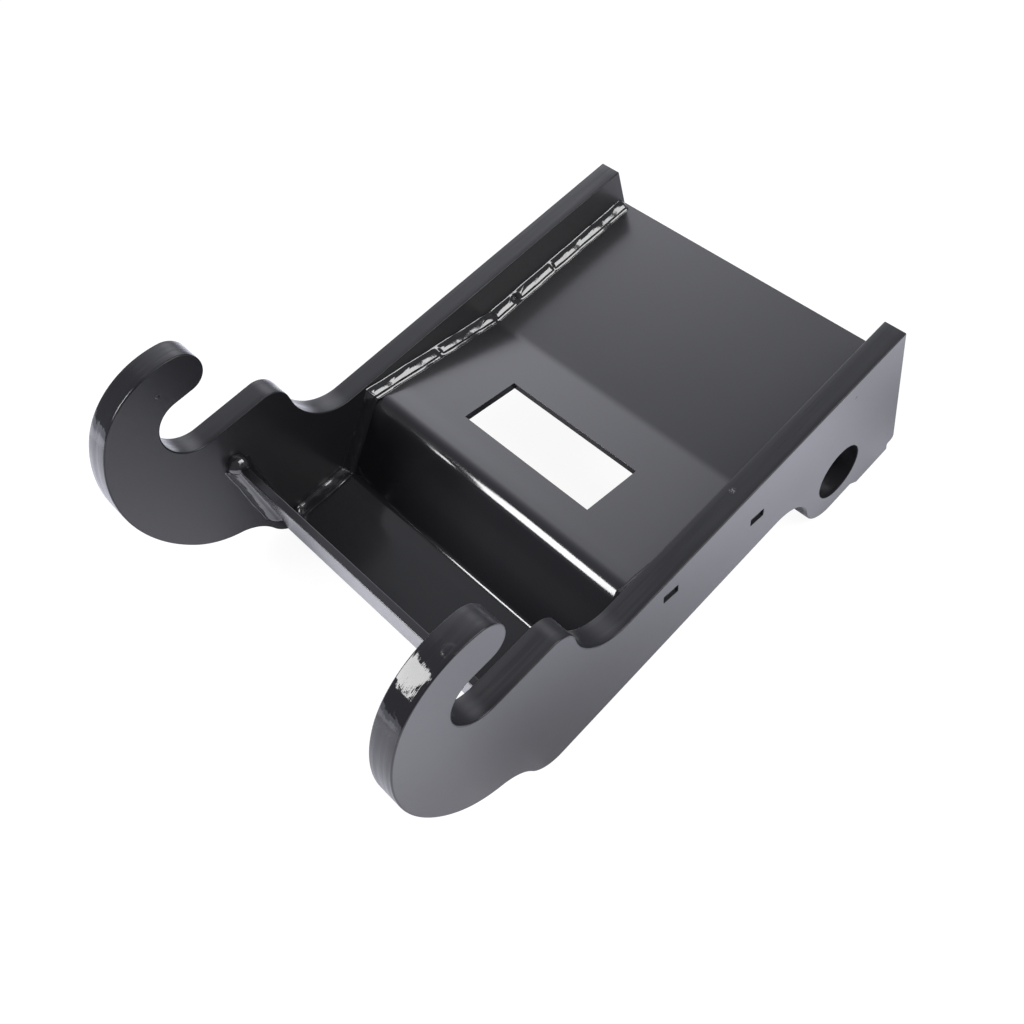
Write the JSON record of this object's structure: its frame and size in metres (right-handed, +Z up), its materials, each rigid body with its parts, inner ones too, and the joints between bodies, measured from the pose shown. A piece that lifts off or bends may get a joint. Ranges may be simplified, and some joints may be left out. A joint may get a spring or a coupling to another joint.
{
  "type": "quick coupler bracket",
  "caption": "Welded quick coupler bracket: thick side plates with open hooks and lock bores, joined by a folded deck with a window and a front cross plate",
  "frame": {"origin": "bottom centre of the bounding box, with the bracket standing on its heels and feet on a flat floor", "axes": "+X across from the left to the right side plate, +Y from the hooks to the lock bores, +Z up"},
  "size_m": [0.32, 0.5124, 0.2055],
  "materials": {
    "side_plate": "satin black powder coat",
    "sheet": "satin black powder coat",
    "weld_bead": "gloss black over weld beads"
  },
  "bodies": {
    "root": {"side_plate_left": "side_plate", "side_plate_right": "side_plate", "folded_deck_plate": "sheet", "front_cross_plate": "sheet", "cross_front_weld_left": "weld_bead", "cross_front_weld_right": "weld_bead", "cross_top_weld_left": "weld_bead", "cross_top_weld_right": "weld_bead", "cross_rear_weld_left": "weld_bead", "cross_rear_weld_right": "weld_bead", "floor_side_weld_left": "weld_bead", "floor_side_weld_right": "weld_bead", "web_weld_left": "weld_bead", "web_weld_right": "weld_bead", "sloped_deck_weld_left": "weld_bead", "sloped_deck_weld_right": "weld_bead", "rear_deck_weld_left": "weld_bead", "rear_deck_weld_right": "weld_bead", "floor_cross_weld": "weld_bead"}
  },
  "joints": []
}
